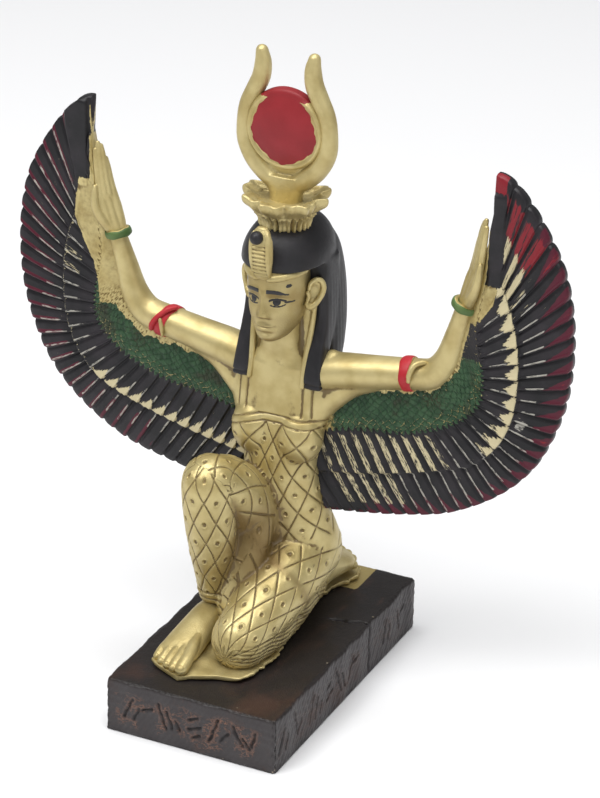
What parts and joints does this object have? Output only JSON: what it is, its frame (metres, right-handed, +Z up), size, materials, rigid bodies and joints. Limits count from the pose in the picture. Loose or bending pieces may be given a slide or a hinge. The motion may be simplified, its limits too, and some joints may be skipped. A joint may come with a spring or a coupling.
{
  "type": "winged goddess statuette",
  "caption": "Kneeling winged goddess in painted resin, arms and feathered wings raised, with a horned sun-disc crown, on an oblong dark plinth.",
  "frame": {"origin": "middle of the plinth's underside, on the surface that the statuette stands on", "axes": "+Z up, -Y the way the figure faces, +X towards the figure's left hand"},
  "size_m": [0.135, 0.074, 0.1497],
  "materials": {
    "figure_paint": "hand-painted cast resin: satin gold paint on body and dress, matt black wig and feathers with red and green",
    "plinth_paint": "satin black-brown paint with a coppery dry brush"
  },
  "bodies": {
    "root": {"goddess_figure": "figure_paint", "plinth": "plinth_paint"}
  },
  "joints": []
}
